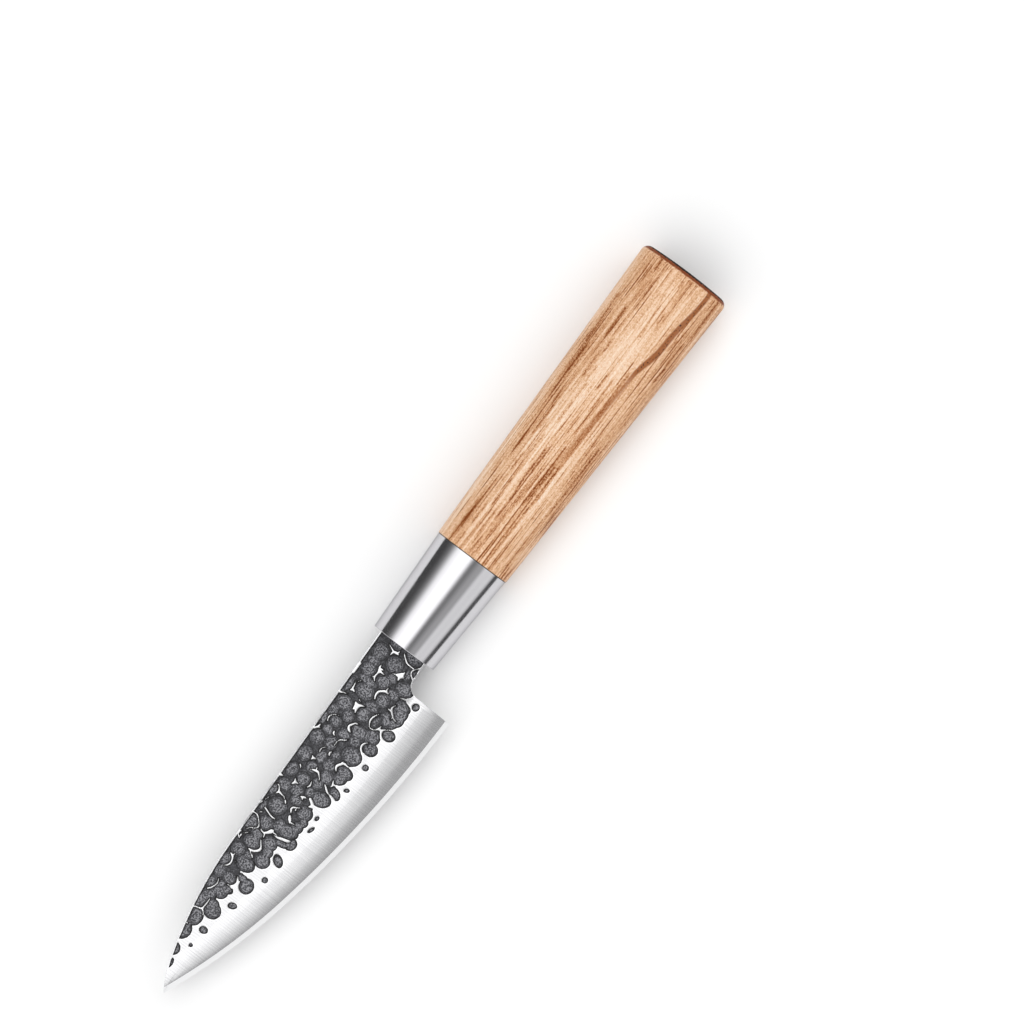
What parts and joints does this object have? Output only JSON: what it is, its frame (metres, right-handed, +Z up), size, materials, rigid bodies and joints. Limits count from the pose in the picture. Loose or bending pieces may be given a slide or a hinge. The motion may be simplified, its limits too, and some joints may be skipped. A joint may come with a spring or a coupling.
{
  "type": "paring knife",
  "caption": "Paring knife with a hammered, double-bevelled steel blade, a tapered steel ferrule and an oval wooden handle that widens toward the butt.",
  "frame": {"origin": "on the surface that the knife lies on, right side down, under the middle of its outline", "axes": "+X along the handle from the tip toward the butt, +Y from the cutting edge toward the spine, +Z up, square to the blade's left face"},
  "size_m": [0.2026, 0.0302, 0.015],
  "materials": {
    "blade_steel": "hammered and darkened flats over a satin grind",
    "ferrule_steel": "polished",
    "handle_wood": "oiled",
    "bore_resin": "cured",
    "glue_film": "cured"
  },
  "bodies": {
    "root": {"blade": "blade_steel", "ferrule": "ferrule_steel", "handle": "handle_wood", "tang_epoxy": "bore_resin", "ferrule_adhesive": "glue_film"}
  },
  "joints": []
}
